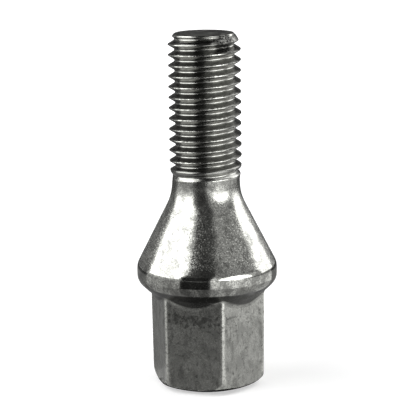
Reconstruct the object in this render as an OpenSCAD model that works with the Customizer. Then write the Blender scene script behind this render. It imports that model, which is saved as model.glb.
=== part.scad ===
// Wheel bolt with a conical seat: one steel forging with a rolled right-hand thread.
// It stands on its head. The head's end face lies on z = 0 and the thread points up +Z.
// Two of the hexagon's flats face along Y. Sizes are in millimetres, angles in degrees.

/* [Thread] */
// Diameter over the thread's crests
thread_d = 12; // [10:0.5:14]
// Height from one crest to the next
pitch = 1.75; // [1.25:0.25:2]
// Height from the start of the run-out to the tip
thread_len = 25.4; // [18:0.1:45]
// Turns over which the groove deepens above the neck
runout_turns = 2.4; // [0.5:0.1:3]
// Direction in which the groove starts, measured from +X towards +Y
groove_start = 219; // [0:1:359]
// Half the width over which each crest is rounded, as a share of the pitch
crest_round = 0.08; // [0.07:0.005:0.12]
// Diameter of the flat face at the tip
tip_face_d = 10; // [7:0.1:10.4]
// Angle between the tip's chamfer and the axis
tip_angle = 31; // [20:1:45]

/* [Neck and seat] */
// How far the neck lies below the thread's crests
neck_step = 0.34; // [0.3:0.02:0.6]
// Length of plain neck between the seat and the thread
neck_len = 1.3; // [0.8:0.1:20]
// Included angle of the conical seat
seat_angle = 54; // [50:1:90]
// Diameter of the rim at the foot of the seat
rim_d = 23.4; // [21.8:0.1:28]
// Height of the rim
rim_h = 2.6; // [1:0.1:5]
// Slope of the rim's underside to the horizontal
under_angle = 43; // [25:1:55]

/* [Head] */
// Hexagon across its flats
hex_af = 17; // [14:0.5:18]
// Height of the rim's lower edge above the end face
head_h = 18; // [13:0.1:24]
// Diameter of the flat end face
end_face_d = 13.3; // [8:0.1:15]
// Slope of the chamfer round the end face to the horizontal
end_angle = 20; // [15:1:45]

/* [Rounded edges] */
// Radius of the hexagon's corners
hex_corner_r = 0.6; // [0.3:0.1:1.5]
// Radius where the end chamfer turns into the hexagon's corners
end_edge_r = 2.5; // [0.5:0.1:4]
// Radius between the neck and the seat
neck_fillet_r = 6; // [1:0.5:8]
// Radius between the seat and the rim
seat_edge_r = 2.6; // [0.2:0.1:3]
// Radius of the rim's lower edge
rim_edge_r = 1.2; // [0.2:0.1:1.4]

/* [Smoothness] */
// Straight steps in each turn of the thread
thread_steps = 44; // [24:4:48]
// Straight steps in each rounded edge
arc_steps = 6; // [3:1:10]

/* [Hidden] */
$fn = 96;
steel = "#5b5b57";

// Section of a rolled metric thread, with flanks at 30 degrees to the radius
flank_angle = 30;
crest_r = thread_d / 2;
root_r = crest_r - 0.61343 * pitch;
root_round_r = 0.14434 * pitch;
root_half_w = root_round_r * cos(flank_angle);
root_rise = root_round_r * (1 - sin(flank_angle));
crest_half_w = crest_round * pitch;
crest_drop = (crest_half_w - pitch / 16) / tan(flank_angle);

// Heights up the bolt
neck_r = crest_r - neck_step;
rim_r = rim_d / 2;
seat_foot_z = head_h + rim_h;
seat_top_z = seat_foot_z + (rim_r - neck_r) / tan(seat_angle / 2);
thread_z = seat_top_z + neck_len;
tip_z = thread_z + thread_len;

// The hexagon's corners reach this far from the axis
corner_r = hex_af / 2 / cos(30) - hex_corner_r * (1 / cos(30) - 1);
// The wall of the solid that chamfers the head stands this far outside the corners
corner_room = 0.3;
// The rim's underside runs on inside the hexagon to this radius
under_r = hex_af / 2 - 1.5;

// The thread's solid stands this deep inside the neck, and is this much slimmer than it
thread_sink = 1;
thread_gap = 0.02;
stub_r = neck_r - thread_gap;
// The groove starts this far above the end of the neck
groove_lift = 0.1;
// Room round the crests inside the solid that chamfers the tip
crest_room = 1;

function unit(v) = v / norm(v);

// Smooth step from 0 to 1
function ease(x) = let (t = min(1, max(0, x))) t * t * (3 - 2 * t);

// Points of an arc of radius r that rounds the corner b between a and c.
// Where a side is short for that radius, the arc takes just under half of it.
function corner_arc(a, b, c, r) =
    let (
        u = unit(a - b),
        v = unit(c - b),
        half = acos(u * v) / 2,
        reach = min(r / tan(half), 0.48 * norm(a - b), 0.48 * norm(c - b)),
        arc_r = reach * tan(half),
        centre = b + unit(u + v) * reach / cos(half),
        from = b + u * reach - centre,
        turn = u.x * v.y - u.y * v.x > 0 ? -1 : 1,
        first = atan2(from.y, from.x)
    )
    [for (i = [0:arc_steps])
        let (angle = first + turn * (180 - 2 * half) * i / arc_steps)
        centre + arc_r * [cos(angle), sin(angle)]];

// Outline through corners [x, y, radius], where a radius of 0 leaves the corner sharp
function rounded_outline(corners) =
    let (
        n = len(corners),
        at = [for (c = corners) [c.x, c.y]]
    )
    [for (i = [0:n - 1]) each corners[i].z == 0
        ? [at[i]]
        : corner_arc(at[(i + n - 1) % n], at[i], at[(i + 1) % n], corners[i].z)];

// Section of the thread from one root to the next, as [height, radius]
thread_section = [
    [0, root_r],
    [root_half_w, root_r + root_rise],
    [pitch / 2 - crest_half_w, crest_r - crest_drop],
    [pitch / 2, crest_r],
    [pitch / 2 + crest_half_w, crest_r - crest_drop],
    [pitch - root_half_w, root_r + root_rise]
];
section_n = len(thread_section);
groove_z = thread_z + groove_lift;
// Steps of the helix that carry the whole section past the tip
helix_steps = ceil((tip_z - groove_z + pitch / 2) / pitch * thread_steps);
thread_top_z = groove_z + pitch * (helix_steps / thread_steps + 1.5);

function step_angle(k) = groove_start + 360 * k / thread_steps;

// Point j of the section, k steps along the helix. The section grows out of the neck.
function thread_point(k, j) =
    let (
        grown = ease(k / thread_steps / runout_turns),
        r = stub_r + grown * (thread_section[j].y - stub_r)
    )
    [
        r * cos(step_angle(k)),
        r * sin(step_angle(k)),
        groove_z + pitch * k / thread_steps + thread_section[j].x
    ];

function ring_point(k, r, z) = [r * cos(step_angle(k)), r * sin(step_angle(k)), z];

// Places in the list of the thread's points: the lower ring, the sections, the last root, the upper ring
function lower_at(k) = k % thread_steps;
function section_at(k, j) =
    j == section_n ? section_at(k + thread_steps, 0)
    : k <= helix_steps ? thread_steps + k * section_n + j
    : thread_steps + (helix_steps + 1) * section_n + k - helix_steps - 1;
function upper_at(k) = section_at(helix_steps + thread_steps, 0) + 1 + k % thread_steps;

// Two triangles with corners a, b, c, d, taken anticlockwise as seen from outside
function quad(a, b, c, d) = [[a, d, c], [a, c, b]];

thread_points = [
    for (k = [0:thread_steps - 1]) ring_point(k, stub_r, thread_z - thread_sink),
    for (k = [0:helix_steps], j = [0:section_n - 1]) thread_point(k, j),
    for (k = [helix_steps + 1:helix_steps + thread_steps]) thread_point(k, 0),
    for (k = [0:thread_steps - 1]) ring_point(helix_steps + k, root_r, thread_top_z)
];

thread_faces = [
    // The helical ribbon
    for (k = [0:helix_steps - 1], j = [0:section_n - 1]) each quad(
        section_at(k, j), section_at(k + 1, j), section_at(k + 1, j + 1), section_at(k, j + 1)
    ),
    // From the lower ring up to the first root, which ends beside the first section
    for (k = [0:thread_steps - 2]) each quad(
        lower_at(k), lower_at(k + 1), section_at(k + 1, 0), section_at(k, 0)
    ),
    [lower_at(thread_steps - 1), section_at(thread_steps - 1, 0), lower_at(0)],
    [section_at(thread_steps - 1, 0), section_at(0, 0), lower_at(0)],
    for (j = [0:section_n - 1]) [
        section_at(thread_steps - 1, 0), section_at(0, j + 1), section_at(0, j)
    ],
    // From the last root, which starts beside the last section, to the upper ring
    for (j = [0:section_n - 1]) [
        section_at(helix_steps, j), section_at(helix_steps, j + 1), section_at(helix_steps + 1, 0)
    ],
    [section_at(helix_steps, section_n), upper_at(0), section_at(helix_steps + 1, 0)],
    [upper_at(0), upper_at(1), section_at(helix_steps + 1, 0)],
    for (k = [1:thread_steps - 1]) each quad(
        section_at(helix_steps + k, 0), section_at(helix_steps + k + 1, 0), upper_at(k + 1), upper_at(k)
    ),
    // The two ends
    [for (k = [0:thread_steps - 1]) lower_at(k)],
    [for (k = [thread_steps - 1:-1:0]) upper_at(k)]
];

// Solid of revolution from an outline in the half-plane of radius and height
module turned(corners) {
    rotate_extrude() polygon(rounded_outline(corners));
}

// Rolled thread, chamfered at the tip
module thread() {
    wall_r = crest_r + crest_room;
    chamfer_z = tip_z - (wall_r - tip_face_d / 2) / tan(tip_angle);
    intersection() {
        polyhedron(thread_points, thread_faces, convexity = 10);
        turned([
            [0, thread_z - 2 * thread_sink, 0],
            [wall_r, thread_z - 2 * thread_sink, 0],
            [wall_r, chamfer_z, 0],
            [tip_face_d / 2, tip_z, 0],
            [0, tip_z, 0]
        ]);
    }
}

// Neck, conical seat, rim and the sloping underside of the rim
module neck_and_seat() {
    turned([
        [0, head_h - (rim_r - under_r) * tan(under_angle), 0],
        [under_r, head_h - (rim_r - under_r) * tan(under_angle), 0],
        [rim_r, head_h, rim_edge_r],
        [rim_r, seat_foot_z, seat_edge_r],
        [neck_r, seat_top_z, neck_fillet_r],
        [neck_r, thread_z, 0],
        [0, thread_z, 0]
    ]);
}

// Hexagon with rounded corners and a chamfered end, which runs up into the rim
module hex_head() {
    sharp_r = hex_af / 2 / cos(30);
    wall_r = corner_r + corner_room;
    intersection() {
        linear_extrude(head_h)
            polygon(rounded_outline(
                [for (a = [0:60:300]) [sharp_r * cos(a), sharp_r * sin(a), hex_corner_r]]
            ));
        turned([
            [0, 0, 0],
            [end_face_d / 2, 0, 0],
            [wall_r, (wall_r - end_face_d / 2) * tan(end_angle), end_edge_r],
            [wall_r, head_h + 1, 0],
            [0, head_h + 1, 0]
        ]);
    }
}

module wheel_bolt() {
    color(steel) union() {
        hex_head();
        neck_and_seat();
        thread();
    }
}

wheel_bolt();
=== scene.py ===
import math

import bmesh
import bpy
import numpy as np
from mathutils import Matrix, Vector, noise


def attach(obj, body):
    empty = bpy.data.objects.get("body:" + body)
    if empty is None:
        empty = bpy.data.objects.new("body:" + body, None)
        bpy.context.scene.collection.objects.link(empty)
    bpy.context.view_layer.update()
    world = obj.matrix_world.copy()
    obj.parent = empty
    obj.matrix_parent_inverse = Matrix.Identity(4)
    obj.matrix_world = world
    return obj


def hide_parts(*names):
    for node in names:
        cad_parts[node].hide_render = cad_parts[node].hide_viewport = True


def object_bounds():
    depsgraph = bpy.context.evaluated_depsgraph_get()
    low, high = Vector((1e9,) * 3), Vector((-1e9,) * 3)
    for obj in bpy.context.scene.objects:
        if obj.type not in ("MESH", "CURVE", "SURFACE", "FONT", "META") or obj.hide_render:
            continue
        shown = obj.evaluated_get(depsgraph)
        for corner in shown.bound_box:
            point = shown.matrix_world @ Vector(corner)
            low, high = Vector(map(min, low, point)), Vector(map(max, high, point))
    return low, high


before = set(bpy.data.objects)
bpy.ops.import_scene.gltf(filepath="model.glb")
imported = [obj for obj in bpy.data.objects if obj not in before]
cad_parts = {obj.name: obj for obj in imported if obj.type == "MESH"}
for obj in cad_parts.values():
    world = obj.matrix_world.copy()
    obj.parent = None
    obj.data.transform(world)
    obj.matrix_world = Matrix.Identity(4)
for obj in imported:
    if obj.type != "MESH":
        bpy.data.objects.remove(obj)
cad_low, cad_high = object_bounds()

# Sizes are in millimetres up to where the mesh is made, and repeat the part's driving dimensions
MM = 0.001
TIP_Z = cad_high.z / MM
RIM_R = cad_high.x / MM
CREST_R = 6.0
PITCH = 1.75
THREAD_LEN = 25.4
RUNOUT_TURNS = 2.4
GROOVE_START = 219.0
GROOVE_LIFT = 0.1
TIP_FACE_R = 5.0
TIP_SLOPE = math.tan(math.radians(31))
NECK_R = 5.66
NECK_LEN = 1.3
SEAT_HALF_ANGLE = math.radians(27)
HEX_HALF = 8.5
HEX_CORNER_R = 0.6
HEAD_H = 18.0
RIM_H = 2.6
UNDER_SLOPE = math.tan(math.radians(43))
END_FACE_R = 6.65
END_SLOPE = math.tan(math.radians(20))

# Roundings. The neck's fillet and the rim's lower edge are softer than in the solid
NECK_FILLET_R = 8.0
SEAT_EDGE_R = 2.6
RIM_EDGE_R = 2.2
UNDER_BEND_R = 1.0
CHAMFER_EDGE_R = 2.5
END_EDGE_R = 1.2

# Radius of the crests before they were worn
FRESH_CREST_R = CREST_R + 0.02

# Heights up the bolt
THREAD_Z = TIP_Z - THREAD_LEN
SEAT_TOP_Z = THREAD_Z - NECK_LEN
SEAT_FOOT_Z = HEAD_H + RIM_H
GROOVE_Z = THREAD_Z + GROOVE_LIFT
FILLET_TOP_Z = SEAT_TOP_Z + NECK_FILLET_R * math.tan(SEAT_HALF_ANGLE / 2)

# The camera stands this far from -Y towards +X, above the level and from the bolt
CAMERA_AZIMUTH = 15.5
CAMERA_ELEVATION = 11.75
CAMERA_DISTANCE = 300.0
CAMERA_ROLL = 0.77
PIXELS_PER_MM = 6.0
IMAGE_SIDE = 412

# The knocked and scuffed place at the tip lies this far to the right of the camera's middle
BRUISE_AZIMUTH = 40


# Curves and blends

def ease(x):
    """Smooth step from 0 to 1."""
    t = np.clip(x, 0.0, 1.0)
    return t * t * (3 - 2 * t)


def smooth_min(a, b, width):
    """The smaller of a and b, blended where they lie closer together than width."""
    h = np.clip(0.5 + 0.5 * (b - a) / width, 0.0, 1.0)
    return b + (a - b) * h - width * h * (1 - h)


def smooth_max(a, b, width):
    """The larger of a and b, blended in the same way."""
    return -smooth_min(-a, -b, width)


def corner_arc(before, corner, after, rounding):
    """Points of the arc that rounds a corner between its two neighbours."""
    steps = 10
    u = (before - corner) / np.linalg.norm(before - corner)
    v = (after - corner) / np.linalg.norm(after - corner)
    half = math.acos(float(u @ v)) / 2
    centre = corner + (u + v) / np.linalg.norm(u + v) * rounding / math.sin(half)
    start = corner + u * rounding / math.tan(half) - centre
    stop = corner + v * rounding / math.tan(half) - centre
    turn = math.atan2(start[0] * stop[1] - start[1] * stop[0], float(start @ stop))
    arc = []
    for step in range(steps + 1):
        c = math.cos(turn * step / steps)
        s = math.sin(turn * step / steps)
        arc.append(centre + np.array([c * start[0] - s * start[1], s * start[0] + c * start[1]]))
    return arc


def rounded_profile(corners):
    """Points (radius, height) through corners (radius, height, rounding)."""
    at = [np.array(corner[:2], float) for corner in corners]
    points = [at[0]]
    for i in range(1, len(corners) - 1):
        points += corner_arc(at[i - 1], at[i], at[i + 1], corners[i][2])
    points.append(at[-1])
    return np.array(points)


def resampled(points, spacing):
    """The same outline with its points no further apart than spacing."""
    out = [points[0]]
    for a, b in zip(points[:-1], points[1:]):
        n = max(1, math.ceil(np.linalg.norm(b - a) / spacing))
        out += [a + (b - a) * i / n for i in range(1, n + 1)]
    return np.array(out)


# Directions round the axis

def turn_angles():
    """Angles of one turn, close together at the hexagon's corners, from where the groove starts."""
    near_corner = [-5.4, -4.2, -3.3, -2.6, -1.9, -1.2, -0.6, 0, 0.6, 1.2, 1.9, 2.6, 3.3, 4.2, 5.4]
    flat_steps = 18
    flat_room = 60 - 2 * near_corner[-1]
    angles = []
    for corner in range(0, 360, 60):
        angles += [corner + a for a in near_corner]
        angles += [corner + near_corner[-1] + flat_room * i / flat_steps for i in range(1, flat_steps)]
    first = min(range(len(angles)), key=lambda i: abs(angles[i] - GROOVE_START))
    return np.array(angles[first:] + [a + 360 for a in angles[:first]])


ANGLES = turn_angles()
TURN = len(ANGLES)


def from_corner(angle):
    """Degrees from an angle to the hexagon's nearest corner, negative on one side of it."""
    return (angle + 30) % 60 - 30


def aside(angle, azimuth):
    """Degrees from what the camera sees at an azimuth right of its middle to this angle."""
    return (angle - (CAMERA_AZIMUTH - 90 + azimuth) + 180) % 360 - 180


def hexagon_radius():
    """Distance from the axis to the rounded hexagon in each direction of a turn."""
    off = np.radians(from_corner(ANGLES))
    centre = (HEX_HALF - HEX_CORNER_R) / math.cos(math.radians(30))
    tangent = math.atan2(HEX_CORNER_R / 2, centre + HEX_CORNER_R * math.cos(math.radians(30)))
    flat = HEX_HALF / np.cos(math.radians(30) - np.abs(off))
    inside = np.maximum(HEX_CORNER_R ** 2 - (centre * np.sin(off)) ** 2, 0)
    corner = centre * np.cos(off) + np.sqrt(inside)
    return np.where(np.abs(off) < tangent, corner, flat)


HEXAGON = hexagon_radius()


# The forging: rings from the head's end face up to the end of the neck

def drafted_hexagon(z):
    """The hexagon at height z: it narrows a little towards its end, as it left the die."""
    return HEXAGON * (1 + 0.001 * (z - 8))


def head_rings():
    """Rings (radii, height) of the end face, its chamfer and the hexagon up to near the rim."""
    wall_room = 0.3
    wall_r = float(HEXAGON.max()) + wall_room
    wall_z = (wall_r - END_FACE_R) * END_SLOPE
    spacing = 0.16
    blend = 0.35
    outline = rounded_profile([
        (6.0, 0, 0),
        (END_FACE_R, 0, END_EDGE_R),
        (wall_r, wall_z, CHAMFER_EDGE_R),
        (wall_r, 4.0, 0)])
    rings = [(np.full(TURN, r), 0.0) for r in (1.5, 3.0, 4.5, 5.5)]
    for r, z in resampled(outline, spacing):
        rings.append((smooth_min(drafted_hexagon(z), np.full(TURN, r), blend), z))
    for z in np.arange(4.8, 12.0, 0.8):
        rings.append((drafted_hexagon(z), z))
    return rings


def neck_radius(z):
    """The neck, whose fillet runs on a little way into the thread's run-out."""
    below = np.maximum(FILLET_TOP_Z - z, 0)
    return NECK_R + NECK_FILLET_R - np.sqrt(NECK_FILLET_R ** 2 - np.minimum(below, NECK_FILLET_R) ** 2)


def seat_rings():
    """Rings of the underside, which blends into the hexagon, and of the rim, seat and neck."""
    lowest_z = 12.4
    blend = 0.3
    fine, coarse = 0.1, 0.25
    bend_r = 9.7
    bend_z = HEAD_H - (RIM_R - bend_r) * UNDER_SLOPE
    outline = rounded_profile([
        (bend_r - 2.4, bend_z - 3.1, 0),
        (bend_r, bend_z, UNDER_BEND_R),
        (RIM_R, HEAD_H, RIM_EDGE_R),
        (RIM_R, SEAT_FOOT_Z, SEAT_EDGE_R),
        (NECK_R, SEAT_TOP_Z, NECK_FILLET_R),
        (NECK_R, FILLET_TOP_Z + 0.5, 0)])
    underside = [(r, z) for r, z in resampled(outline, fine) if lowest_z < z < HEAD_H]
    upper_side = [(r, z) for r, z in resampled(outline, coarse) if HEAD_H <= z < THREAD_Z - 0.05]
    rings = [(smooth_max(drafted_hexagon(z), np.full(TURN, r), blend), z) for r, z in underside]
    rings += [(np.full(TURN, r), z) for r, z in upper_side]
    return rings + [(np.full(TURN, neck_radius(THREAD_Z)), THREAD_Z)]


# The rolled thread: a helical ribbon whose section repeats once a pitch

def thread_section():
    """Section from one root to the next as (height, radius), with round roots and crests."""
    root_r = CREST_R - 0.61343 * PITCH
    root_round = 0.14434 * PITCH
    crest_round = 0.11
    bends = [math.radians(a) for a in (0, 20, 40, 60)]
    rise = [(root_round * math.sin(a), root_r + root_round * (1 - math.cos(a))) for a in bends]
    top = [
        (PITCH / 2 - crest_round * math.sin(a), FRESH_CREST_R - crest_round * (1 - math.cos(a)))
        for a in reversed(bends)]
    low, high = np.array(rise[-1]), np.array(top[0])
    flank = [tuple(low + (high - low) * t) for t in (0.33, 0.67)]
    half = rise + flank + top
    return np.array(half + [(PITCH - z, r) for z, r in half[-2:0:-1]])


SECTION = thread_section()
ACROSS = len(SECTION)


def chamfer_radius(z):
    """The tip's chamfer, with its outer edge broken."""
    down = TIP_Z - z
    edge = 0.3
    return TIP_FACE_R + down * TIP_SLOPE - 0.14 * np.clip(1 - down / edge, 0, 1.5) ** 2


def nicks(angle):
    """Depth by which the crest is worn at each step along the helix."""
    loop_r = 9
    climb = 1 / 40
    depth = []
    for a in angle:
        turn = math.radians(a)
        at = Vector((loop_r * math.cos(turn), loop_r * math.sin(turn), a * climb))
        depth.append(0.025 + 0.04 * noise.noise(at) + 0.02 * noise.noise(at * 3.1))
    return np.clip(depth, 0.0, 0.2)


def bruise(angle, z):
    """Depth of the knocks on the first crests below the tip."""
    deepest = 0.22
    beside = aside(angle, BRUISE_AZIMUTH)
    below = TIP_Z - z
    near = np.exp(-(beside / 15) ** 2 - ((below - 1.3) / 1.5) ** 2)
    knocks = 0.5 + 0.5 * np.sin(beside * 0.55 + below * 5.1) * np.sin(beside * 0.21 - below * 3.3 + 1)
    return deepest * near * knocks


def runout_radius(turns, height, full_radius):
    """The section where the groove is still shallow: soft shoulders at first, then the sharp section.

    turns is counted along the helix and height across the ribbon, so the groove lies at both its
    edges, and the upper edge is one turn further on.
    """
    full_depth = CREST_R - SECTION[:, 1].min()
    along = turns + height / PITCH
    land = NECK_R + (FRESH_CREST_R - NECK_R) * ease(along / 2.6)
    lower_shoulder = 0.55 * PITCH
    upper_shoulder = 0.75 * lower_shoulder
    delay = 0.15
    low = ease((turns - delay) / RUNOUT_TURNS) * (1 - ease(height / lower_shoulder))
    high = ease((turns + 1 - delay) / RUNOUT_TURNS) * (1 - ease((PITCH - height) / upper_shoulder))
    soft = land - full_depth * (low + high)
    sharp = smooth_min(land, full_radius + full_depth * (1 - ease(along / RUNOUT_TURNS)), 0.06)
    return soft + (sharp - soft) * ease((along - 1.0) / 0.8)


def thread_grid():
    """Points of the ribbon as an array [step along the helix, point across, xyz]."""
    spare_turns = 1.2
    first_groove_lift = 0.2
    chamfer_blend = 0.12
    steps = math.ceil(((TIP_Z - GROOVE_Z) / PITCH + spare_turns) * TURN)
    k = np.arange(steps + 1)
    angle = ANGLES[k % TURN] + 360 * (k // TURN)
    rise = PITCH * (angle - ANGLES[0]) / 360
    along = (rise[:, None] + SECTION[None, :, 0]) / PITCH
    z = GROOVE_Z + PITCH * along + first_groove_lift * (1 - ease((along - 0.6) / 1.4))
    r = runout_radius((rise / PITCH)[:, None], SECTION[None, :, 0], SECTION[None, :, 1])
    r = np.minimum(r, FRESH_CREST_R - nicks(angle)[:, None])
    r = np.where(z < FILLET_TOP_Z, np.maximum(r, neck_radius(z)), r)
    r = smooth_min(r, chamfer_radius(z), chamfer_blend)
    r -= bruise(angle[:, None], z)
    a = np.radians(angle)[:, None]
    return np.stack([r * np.cos(a), r * np.sin(a), z], axis=2)


# The mesh

def ring_points(radii, z):
    a = np.radians(ANGLES)
    return np.stack([radii * np.cos(a), radii * np.sin(a), np.full(TURN, z)], axis=1)


def forging_faces(ring_count):
    """Faces of the end face's centre and between the rings, whose points start at 1."""
    faces = []
    for i in range(TURN):
        j = (i + 1) % TURN
        faces.append((0, 1 + j, 1 + i))
        for row in range(ring_count - 1):
            low, high = 1 + row * TURN, 1 + (row + 1) * TURN
            faces.append((low + i, low + j, high + j, high + i))
    return faces


def thread_faces(top_ring, base, steps):
    """Faces of the ribbon, and of the strip from the neck's top ring up to the ribbon's first root."""
    def at(k, j):
        return base + (k + TURN) * ACROSS if j == ACROSS else base + k * ACROSS + j

    faces = []
    for k in range(steps - TURN):
        for j in range(ACROSS):
            faces.append((at(k, j), at(k + 1, j), at(k + 1, j + 1), at(k, j + 1)))
    last = TURN - 1
    for k in range(last):
        faces.append((top_ring + k, top_ring + k + 1, at(k + 1, 0), at(k, 0)))
    faces.append((top_ring + last, top_ring, at(0, 0), at(last, 0)))
    for j in range(ACROSS):
        faces.append((at(last, 0), at(0, j), at(0, j + 1)))
    return faces


def close_tip(bm, material_index):
    """Cuts the ribbon off at the tip and closes it with the flat end face."""
    bmesh.ops.bisect_plane(
        bm, geom=bm.verts[:] + bm.edges[:] + bm.faces[:], dist=1e-9,
        plane_co=(0, 0, TIP_Z * MM), plane_no=(0, 0, 1), clear_outer=True)
    loop = {v for e in bm.edges if len(e.link_faces) == 1 for v in e.verts}
    outer = sorted(loop, key=lambda v: math.atan2(v.co.y, v.co.x))
    previous = outer
    new_faces = []
    for share in (0.96, 0.8, 0.5, 0.2):
        inner = [bm.verts.new((v.co.x * share, v.co.y * share, TIP_Z * MM)) for v in outer]
        for i in range(len(outer)):
            j = (i + 1) % len(outer)
            new_faces.append(bm.faces.new((previous[i], previous[j], inner[j], inner[i])))
        previous = inner
    centre = bm.verts.new((0, 0, TIP_Z * MM))
    for i in range(len(outer)):
        new_faces.append(bm.faces.new((previous[i], previous[(i + 1) % len(outer)], centre)))
    for face in new_faces:
        face.material_index = material_index


def rolled_or_forged(steps):
    """For each face of the ribbon, 1 where it is rolled steel and 0 on the plain start of the run-out."""
    plain_turns = 0.75
    along = np.arange(steps - TURN)[:, None] / TURN + SECTION[None, :, 0] / PITCH
    return (along > plain_turns).astype(int).ravel().tolist()


def build_mesh(materials):
    """The whole bolt as one closed mesh. materials: forging, thread, tip face."""
    rings = head_rings() + seat_rings()
    grid = thread_grid()
    steps = len(grid) - 1
    points = np.concatenate(
        [np.zeros((1, 3))] + [ring_points(*ring) for ring in rings] + [grid.reshape(-1, 3)])
    forged = forging_faces(len(rings))
    top_ring = 1 + (len(rings) - 1) * TURN
    ribbon = thread_faces(top_ring, 1 + len(rings) * TURN, steps)

    mesh = bpy.data.meshes.new("wheel_bolt_surface")
    mesh.from_pydata((points * MM).tolist(), [], forged + ribbon)
    for material in materials:
        mesh.materials.append(material)
    kinds = rolled_or_forged(steps)
    kinds += [0] * (len(ribbon) - len(kinds))
    mesh.polygons.foreach_set("material_index", [0] * len(forged) + kinds)
    bm = bmesh.new()
    bm.from_mesh(mesh)
    close_tip(bm, 2)
    bmesh.ops.delete(bm, geom=[v for v in bm.verts if not v.link_faces], context="VERTS")
    bm.to_mesh(mesh)
    bm.free()
    mesh.polygons.foreach_set("use_smooth", [True] * len(mesh.polygons))
    return mesh


# Marks: values from 0 to 1 in each point, which the materials use

def surface_points(mesh):
    """Each point's distance from the axis, angle round it, height and how far it faces up."""
    at = np.empty(len(mesh.vertices) * 3)
    mesh.vertices.foreach_get("co", at)
    x, y, z = at.reshape(-1, 3).T / MM
    normals = np.empty(len(mesh.vertices) * 3)
    mesh.vertex_normals.foreach_get("vector", normals)
    return np.hypot(x, y), np.degrees(np.arctan2(y, x)), z, normals.reshape(-1, 3)[:, 2]


def head_marks(r, angle, z):
    """Worn corners of the hexagon, dark blotches below the rim on every other flat, and painted shade
    under the rim and at the foot.
    """
    off = np.abs(from_corner(angle))
    widest_off = 3.0 + 2.0 * ease((6 - z) / 5)
    on_corner = ease((widest_off - off) / 2.0) * (r > 8.9)
    below_rim = ease((16.3 - z) / 0.4)
    above_chamfer = ease((z - 1.4) / 1.4)
    hexagon_r = np.minimum(HEX_HALF / np.cos(np.radians(30 - off)), 9.72)
    # Painted shade: the rim's underside and the bottom edge by the floor are darkened in the colour
    under = ease((r - hexagon_r - 0.12) / 0.3) * ease((HEAD_H - 0.3 - z) / 0.4) * (z > 12)
    foot = ease((0.55 - z) / 0.5)
    every_other_flat = 0.6 + 0.4 * np.cos(np.radians(3 * (angle + 90)))
    blotches_and_painted_shade = ease((14.2 - z) / 0.9) * ease((z - 10.0) / 3.0) * every_other_flat
    return {
        "wear": on_corner * below_rim * above_chamfer,
        "painted_shade_under_rim_and_foot": np.maximum(under, foot),
        "blotches_and_painted_shade": blotches_and_painted_shade}


def thread_marks(r, angle, z, facing_up):
    """Worn crests, dimmed to the right by painted shade, painted shade on the flanks that face up,
    painted light on rough lower flanks to the right, torn crests, and the scuffs at the tip.
    """
    right = aside(angle, 0)
    on_crest = ease((r - CREST_R + 0.08) / 0.06) * (z > THREAD_Z)
    # Painted shade: the worn crests are dimmed to the camera's right
    painted_shade_on_right = 1 - 0.8 * ease((right - 30) / 18) * ease((110 - right) / 20)
    # Painted shade: the flanks that face up are darkened
    painted_shade_upper_flanks = ease((facing_up - 0.2) / 0.5) * ease((z - THREAD_Z - 1) / 2) * ease((TIP_Z - z) / 1.5)
    # Painted light: rough lower flanks to the right of the camera are lightened
    rough_flanks_painted_light = ease((0.1 - facing_up) / 0.5) * (z > THREAD_Z + 1) * np.exp(-(aside(angle, 48) / 32) ** 2)
    tears = ease((r - CREST_R + 0.28) / 0.12) * (z > THREAD_Z + 2) * ease((right - 22) / 25)
    beside = aside(angle, BRUISE_AZIMUTH)
    near_bruise = np.exp(-(beside / 24) ** 2 - ((TIP_Z - z - 1.2) / 2.0) ** 2)
    scuffs = ease((near_bruise - 0.25) / 0.4)
    return {
        "wear": on_crest * painted_shade_on_right,
        "blotches_and_painted_shade": painted_shade_upper_flanks,
        "rough_flanks_painted_light": rough_flanks_painted_light,
        "tears": tears,
        "scuffs": scuffs}


def mark_surface(mesh):
    """Stores the marks in the mesh: the thread's above the rim and the head's below it."""
    r, angle, z, facing_up = surface_points(mesh)
    head = head_marks(r, angle, z)
    thread = thread_marks(r, angle, z, facing_up)
    for name in ("wear", "painted_shade_under_rim_and_foot", "rough_flanks_painted_light", "tears", "blotches_and_painted_shade", "scuffs"):
        values = np.where(z > SEAT_FOOT_Z, thread.get(name, 0.0), head.get(name, 0.0))
        mesh.attributes.new(name, "FLOAT", "POINT").data.foreach_set("value", values)


# Materials

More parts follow.
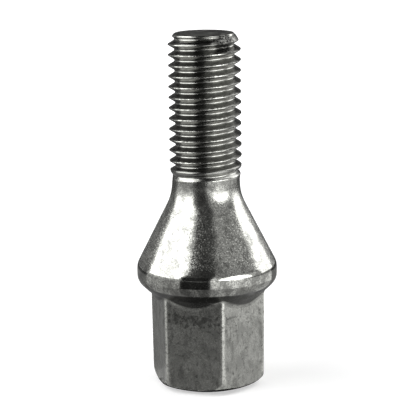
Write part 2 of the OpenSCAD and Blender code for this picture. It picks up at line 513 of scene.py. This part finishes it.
class Nodes:
    """Adds nodes to a material or a world and links them."""

    def __init__(self, owner, shader="Principled BSDF"):
        owner.use_nodes = True
        self.tree = owner.node_tree
        self.shader = self.tree.nodes[shader]

    def add(self, kind, settings=None, **inputs):
        node = self.tree.nodes.new(kind)
        for name, value in (settings or {}).items():
            setattr(node, name, value)
        for name, value in inputs.items():
            self.set(node, name.replace("_", " "), value)
        return node

    def set(self, node, socket, value):
        """Links a value that is a socket, and stores any other in the node's own socket."""
        if isinstance(value, bpy.types.NodeSocket):
            self.tree.links.new(value, node.inputs[socket])
        else:
            node.inputs[socket].default_value = value

    def set_shader(self, values):
        for name, value in values.items():
            self.set(self.shader, name, value)

    def math(self, operation, a, b):
        node = self.add("ShaderNodeMath", {"operation": operation})
        self.set(node, 0, a)
        self.set(node, 1, b)
        return node.outputs[0]

    def product(self, a, b):
        return self.math("MULTIPLY", a, b)

    def ramp(self, value, low, high, out_low=0.0, out_high=1.0):
        """value from low to high as a number from out_low to out_high, clamped."""
        node = self.add("ShaderNodeMapRange", Value=value)
        limits = {"From Min": low, "From Max": high, "To Min": out_low, "To Max": out_high}
        for name, number in limits.items():
            self.set(node, name, number)
        return node.outputs["Result"]

    def mix(self, factor, a, b):
        """Colour a turned towards colour b by the factor."""
        node = self.add("ShaderNodeMix", {"data_type": "RGBA"})
        for socket, value in ((0, factor), (6, a), (7, b)):
            self.set(node, socket, value)
        return node.outputs[2]

    def towards(self, tone, factor, level):
        """The tone turned towards a grey of this level by the factor."""
        return self.mix(factor, tone, grey(level))

    def where(self, z_scale=1.0):
        """The object's own coordinates, with the height multiplied by z_scale."""
        place = self.add("ShaderNodeTexCoord").outputs["Object"]
        if z_scale == 1.0:
            return place
        return self.add("ShaderNodeMapping", Vector=place, Scale=(1.0, 1.0, z_scale)).outputs["Vector"]

    def noise(self, size_mm, detail, roughness, z_scale=1.0):
        """Noise with grains of about this size, flattened by z_scale."""
        node = self.add("ShaderNodeTexNoise", Vector=self.where(z_scale), Scale=1 / (size_mm * MM))
        self.set(node, "Detail", detail)
        self.set(node, "Roughness", roughness)
        return node.outputs["Fac"]

    def up(self, low_mm, high_mm, out_low=0.0, out_high=1.0):
        """A ramp over the height on the bolt."""
        height = self.add("ShaderNodeSeparateXYZ", Vector=self.where()).outputs["Z"]
        return self.ramp(height, low_mm * MM, high_mm * MM, out_low, out_high)

    def mark(self, name):
        """One of the marks stored in the mesh."""
        return self.add("ShaderNodeAttribute", {"attribute_name": name}).outputs["Fac"]

    def bump(self, height, strength, depth_mm):
        node = self.add("ShaderNodeBump", Height=height, Strength=strength, Distance=depth_mm * MM)
        return node.outputs["Normal"]

    def background_rays(self):
        """1 for rays of the camera and those that metal or glass sends on, and 0 for all others."""
        path = self.add("ShaderNodeLightPath").outputs
        sent_on = self.math("MAXIMUM", path["Is Glossy Ray"], path["Is Transmission Ray"])
        return self.math("MAXIMUM", path["Is Camera Ray"], sent_on)


def grey(level):
    """A grey in linear light with the plating's faint olive tint."""
    return (0.995 * level, level, 0.94 * level, 1.0)


def seat_tone(n, speckle, clouds):
    """Bright and speckled, with darker clouds, small pits and a darker neck."""
    pits = n.ramp(n.noise(0.42, 2, 0.5), 0.62, 0.72)
    tone = n.mix(speckle, grey(0.24), grey(0.58))
    tone = n.towards(tone, n.ramp(clouds, 0.44, 0.60, 0.0, 0.7), 0.13)
    tone = n.towards(tone, n.product(pits, 0.6), 0.06)
    return n.towards(tone, n.up(31.9, 33.2, 0.0, 0.3), 0.16)


def hexagon_tone(n, speckle, clouds):
    """Duller, with clouds, dark blotches and upright smears."""
    blotches = n.math("ADD", n.noise(0.7, 5, 0.65), n.product(n.mark("blotches_and_painted_shade"), 0.16))
    smears = n.noise(0.8, 4, 0.65, z_scale=0.3)
    tone = n.mix(speckle, grey(0.38), grey(0.54))
    tone = n.towards(tone, n.ramp(clouds, 0.36, 0.64, 0.0, 0.6), 0.20)
    tone = n.towards(tone, n.ramp(blotches, 0.56, 0.68, 0.0, 0.75), 0.09)
    return n.towards(tone, n.ramp(smears, 0.50, 0.64, 0.0, 0.5), 0.14)


def forged_roughness(n, on_seat, clouds):
    """Satin all over, duller in specks on the seat and on the neck, and glossier on the rim."""
    polish = n.ramp(clouds, 0.3, 0.7, 0.15, 0.22)
    neck = n.up(31.6, 33.2, 0.08, 0.14)
    specked = n.product(n.up(20.8, 22.2), n.up(29.5, 31.5, 1.0, 0.2))
    specks = n.product(specked, n.ramp(n.noise(0.26, 2, 0.5), 0.50, 0.66, 0.0, 0.18))
    rim = n.product(on_seat, n.up(20.8, 22.5, 0.16, 0.08))
    return n.math("SUBTRACT", n.math("ADD", n.math("ADD", polish, neck), specks), rim)


def forged_steel():
    """Plated steel of the head, seat and neck."""
    material = bpy.data.materials.new("plated_forging")
    n = Nodes(material)
    on_seat = n.up(15.5, 17.5)
    clouds = n.noise(1.9, 4, 0.6)
    fine = n.noise(0.22, 2, 0.5)
    speckle = n.ramp(fine, 0.36, 0.64)
    beads = n.ramp(n.noise(0.45, 3, 0.6), 0.36, 0.52)
    tone = n.mix(on_seat, hexagon_tone(n, speckle, clouds), seat_tone(n, speckle, clouds))
    tone = n.towards(tone, n.product(n.mark("wear"), beads), 0.68)
    # Painted shade: under the rim and at the foot the tone turns almost black
    tone = n.towards(tone, n.product(n.mark("painted_shade_under_rim_and_foot"), 0.85), 0.02)
    smooth_on_rim = n.math("MAXIMUM", n.up(17.0, 17.6, 1.0, 0.0), n.up(20.8, 22.2, 0.2, 1.0))
    n.set_shader({
        "Base Color": tone,
        "Metallic": 1.0,
        "Roughness": forged_roughness(n, on_seat, clouds),
        "Normal": n.bump(fine, smooth_on_rim, 0.010)})
    return material


def rolled_tone(n, streaks):
    """Dark and streaked, with bright worn beads on the crests, painted shade on the flanks that face up,
    painted light on rough lower flanks to the right, dark tears and pitted scuffs.
    """
    patches = n.ramp(n.noise(0.8, 4, 0.6), 0.35, 0.65)
    beads = n.ramp(n.noise(0.5, 3, 0.6), 0.45, 0.62)
    tears = n.ramp(n.noise(0.6, 4, 0.7, z_scale=9.0), 0.40, 0.52)
    pits = n.ramp(n.noise(0.35, 4, 0.75), 0.46, 0.58)
    tone = n.mix(patches, grey(0.28), grey(0.46))
    tone = n.towards(tone, n.ramp(streaks, 0.40, 0.62, 0.5, 0.0), 0.18)
    # Painted shade on the flanks that face up
    tone = n.towards(tone, n.product(n.mark("blotches_and_painted_shade"), 0.85), 0.09)
    # Painted light on the rough lower flanks to the right
    tone = n.towards(tone, n.product(n.mark("rough_flanks_painted_light"), n.ramp(streaks, 0.38, 0.58)), 0.62)
    tone = n.towards(tone, n.product(n.mark("wear"), beads), 0.60)
    tone = n.towards(tone, n.product(n.mark("tears"), tears), 0.05)
    return n.mix(n.mark("scuffs"), tone, n.mix(pits, grey(0.005), grey(0.13)))


def rolled_steel():
    """Plated steel of the thread, streaked round the axis, dull on the rough lower flanks that carry
    painted light and where it is scuffed.
    """
    material = bpy.data.materials.new("plated_thread")
    n = Nodes(material)
    streaks = n.noise(0.9, 5, 0.65, z_scale=9.0)
    dull = n.math("MAXIMUM", n.product(n.mark("rough_flanks_painted_light"), 0.24), n.product(n.mark("scuffs"), 0.15))
    pits = n.product(n.noise(0.35, 4, 0.75), 3.0)
    relief = n.math("ADD", streaks, n.product(n.mark("scuffs"), pits))
    n.set_shader({
        "Base Color": rolled_tone(n, streaks),
        "Metallic": 1.0,
        "Roughness": n.math("ADD", n.ramp(streaks, 0.35, 0.7, 0.16, 0.27), dull),
        "Normal": n.bump(relief, 0.6, 0.015)})
    return material


def tip_steel():
    """Dull dark steel of the tip's end face."""
    material = bpy.data.materials.new("plated_tip_face")
    n = Nodes(material)
    grain = n.noise(1.3, 4, 0.7)
    clouds = n.ramp(n.noise(4.0, 3, 0.6), 0.35, 0.65, 0.0, 0.6)
    tone = n.mix(n.ramp(grain, 0.42, 0.60), grey(0.01), grey(0.32))
    n.set_shader({
        "Base Color": n.towards(tone, clouds, 0.10),
        "Metallic": 1.0,
        "Roughness": n.ramp(grain, 0.3, 0.7, 0.30, 0.45),
        "Normal": n.bump(grain, 1.0, 0.04)})
    return material


def card_material(name, level):
    """A card that a mirror shows at this level, where 1 is white, whatever lights it."""
    material = bpy.data.materials.new(name)
    Nodes(material).set_shader({
        "Base Color": (0, 0, 0, 1),
        "Specular IOR Level": 0.0,
        "Emission Color": (1, 1, 1, 1),
        "Emission Strength": level})
    return material


def floor_material():
    """Pale floor that reads as white where nothing shades it, and a little darker near the bolt."""
    material = bpy.data.materials.new("floor")
    n = Nodes(material)
    away = n.add("ShaderNodeVectorMath", {"operation": "LENGTH"})
    n.set(away, 0, n.where())
    glow = n.ramp(away.outputs["Value"], 0.08, 0.35, 0.45, 1.0)
    n.set_shader({
        "Base Color": (0.65, 0.65, 0.65, 1),
        "Roughness": 0.8,
        "Specular IOR Level": 0.0,
        "Emission Color": (1, 1, 1, 1),
        "Emission Strength": n.product(n.background_rays(), glow)})
    return material


# Camera

def direction(azimuth, elevation):
    """Unit vector from the bolt, at an azimuth counted from the camera to its right."""
    a = math.radians(CAMERA_AZIMUTH + azimuth)
    e = math.radians(elevation)
    return Vector((math.sin(a) * math.cos(e), -math.cos(a) * math.cos(e), math.sin(e)))


def add_object(name, data, placement):
    """Puts an object into the scene."""
    item = bpy.data.objects.new(name, data)
    item.matrix_world = placement
    bpy.context.scene.collection.objects.link(item)
    return item


def add_camera():
    """The photograph's view: the bolt stands a little below the middle and leans by the camera's roll."""
    target = Vector((0, 0, 28.94 * MM))
    right_px, down_px = 0.36, 7.75
    sensor = 36.0
    back = direction(0, CAMERA_ELEVATION)
    level_right = direction(90, 0)
    level_up = back.cross(level_right)
    roll = math.radians(CAMERA_ROLL)
    right = level_right * math.cos(roll) - level_up * math.sin(roll)
    up = level_up * math.cos(roll) + level_right * math.sin(roll)
    place = target + back * CAMERA_DISTANCE * MM
    place += (up * down_px - right * right_px) / PIXELS_PER_MM * MM
    data = bpy.data.cameras.new("camera")
    data.sensor_width = sensor
    data.lens = sensor * PIXELS_PER_MM * CAMERA_DISTANCE / IMAGE_SIDE
    data.clip_start = 0.01
    axes = Matrix((right, up, back)).transposed().to_4x4()
    bpy.context.scene.camera = add_object("camera", data, Matrix.Translation(place) @ axes)


# Light and surroundings, in metres

AIM = Vector((0, 0, 28 * MM))

# Soft boxes: name, azimuth, elevation, width, height, brightness, shape
LAMPS = [
    ("left_box", -77, 31, 0.62, 0.53, 3.5, "RECTANGLE"),
    ("right_octagon", 48, 0, 0.56, 0.34, 5.0, "ELLIPSE"),
    ("right_box", 116, 31, 0.33, 0.60, 3.2, "RECTANGLE"),
]

# Upright cards: name, level, azimuths, elevations, distance
UPRIGHT_CARDS = [
    ("card_front_low", 0.035, (-43, 6), (-10, 21), 0.60),
    ("card_front", 0.085, (-38, 10), (10, 74), 0.62),
    ("card_behind_low", 0.12, (150, 212), (-6, 20), 0.75),
    ("card_behind_high", 0.03, (150, 212), (20, 70), 0.75),
    ("card_left_back", 0.28, (-150, -112), (-8, 60), 0.68),
    ("card_right_back", 0.66, (128, 152), (-8, 60), 0.68),
    ("card_over_octagon", 0.42, (14, 100), (20, 45), 0.60),
    ("card_right_high", 1.6, (45, 100), (43, 66), 0.60),
    ("card_above", 0.01, (-45, 45), (45, 135), 0.58),
]

# Cards on the floor: name, level, azimuths, distances
FLOOR_CARDS = [
    ("floor_front_near", 0.22, (-43, 4.5), (0.0095, 0.060)),
    ("floor_front_middle", 0.03, (-43, 4.5), (0.060, 0.165)),
    ("floor_front_far", 0.22, (-43, 4.5), (0.165, 0.34)),
    ("floor_front_end", 0.035, (-43, 4.5), (0.34, 0.62)),
    ("floor_left_back", 0.25, (-178, -112), (0.0095, 0.11)),
    ("floor_left_near", 0.43, (-112, -43), (0.0095, 0.06)),
    ("floor_left_middle", 0.6, (-112, -43), (0.06, 0.14)),
    ("floor_left_far", 0.85, (-112, -43), (0.14, 0.62)),
    ("floor_right_near", 0.65, (4.5, 125), (0.0095, 0.06)),
    ("floor_right_middle", 1.25, (4.5, 125), (0.06, 0.14)),
    ("floor_right_far", 0.45, (62, 125), (0.14, 0.62)),
    ("floor_right_glow", 1.2, (12, 62), (0.28, 0.62)),
    ("floor_right_dull", 0.25, (12, 33), (0.14, 0.28)),
    ("floor_right_spot", 2.5, (33, 62), (0.14, 0.28)),
    ("floor_back_near", 0.25, (125, 182), (0.0095, 0.11)),
    ("floor_back_far", 0.1, (125, 248), (0.11, 0.62)),
    # floor_under is a near-black card under the bolt: painted shade that only reflections see
    ("floor_under", 0.01, (0, 360), (0.002, 0.0095)),
]


def facing(azimuth, elevation, distance):
    """Placement at that distance whose -Z axis looks at the bolt."""
    out = direction(azimuth, elevation)
    return Matrix.Translation(AIM + out * distance) @ out.to_track_quat("Z", "Y").to_matrix().to_4x4()


def add_lamp(name, azimuth, elevation, width, height, brightness, shape):
    """A soft box that looks at the bolt. brightness is what a mirror would show, where 1 is white."""
    distance = 0.5
    data = bpy.data.lights.new(name, "AREA")
    data.shape = shape
    data.size = width
    data.size_y = height
    area = width * height * (math.pi / 4 if shape == "ELLIPSE" else 1)
    data.energy = brightness * area * math.pi
    lamp = add_object(name, data, facing(azimuth, elevation, distance))
    lamp.visible_camera = False


def add_studio_card(name, points, faces, placement, level):
    """A flat card that only the bolt's reflections see."""
    mesh = bpy.data.meshes.new(name)
    mesh.from_pydata(points, [], faces)
    mesh.materials.append(card_material(name, level))
    card = add_object(name, mesh, placement)
    card.visible_camera = False
    card.visible_shadow = False
    card.visible_diffuse = False


def add_upright_card(name, level, azimuths, elevations, distance):
    """A card that faces the bolt and fills these azimuths and elevations."""
    azimuth = sum(azimuths) / 2
    elevation = sum(elevations) / 2
    w = distance * math.tan(math.radians(azimuths[1] - azimuth)) * math.cos(math.radians(elevations[0]))
    h = distance * math.tan(math.radians(elevations[1] - elevation))
    points = [(-w, -h, 0), (w, -h, 0), (w, h, 0), (-w, h, 0)]
    add_studio_card(name, points, [(0, 1, 2, 3)], facing(azimuth, elevation, distance), level)


def add_floor_card(name, level, azimuths, distances):
    """A card that lies just above the floor between two azimuths and two distances."""
    steps = 12
    lift = 0.3 * MM
    points = []
    for i in range(steps + 1):
        azimuth = azimuths[0] + (azimuths[1] - azimuths[0]) * i / steps
        points += [direction(azimuth, 0) * d for d in distances]
    faces = [(2 * i, 2 * i + 1, 2 * i + 3, 2 * i + 2) for i in range(steps)]
    add_studio_card(name, points, faces, Matrix.Translation((0, 0, lift)), level)


def add_floor():
    mesh = bpy.data.meshes.new("floor")
    side = 4.0
    corners = [(-side, -side, 0), (side, -side, 0), (side, side, 0), (-side, side, 0)]
    mesh.from_pydata(corners, [], [(0, 1, 2, 3)])
    mesh.materials.append(floor_material())
    floor = add_object("floor", mesh, Matrix.Identity(4))


def add_world():
    """White where the camera and the metal see it, and a plain grey fill for the light that it gives."""
    world = bpy.data.worlds.new("studio")
    bpy.context.scene.world = world
    n = Nodes(world, "Background")
    strength = n.ramp(n.background_rays(), 0.0, 1.0, 0.25, 1.0)
    n.set_shader({"Color": (1, 1, 1, 1), "Strength": strength})


def add_bolt(materials):
    mesh = build_mesh(materials)
    mark_surface(mesh)
    return add_object("wheel_bolt_surface", mesh, Matrix.Identity(4))


add_camera()
bolt = add_bolt([forged_steel(), rolled_steel(), tip_steel()])
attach(bolt, "root")
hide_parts("wheel_bolt")
add_floor()
for lamp in LAMPS:
    add_lamp(*lamp)
for card in UPRIGHT_CARDS:
    add_upright_card(*card)
for card in FLOOR_CARDS:
    add_floor_card(*card)
add_world()
bpy.context.scene.view_settings.view_transform = "Standard"
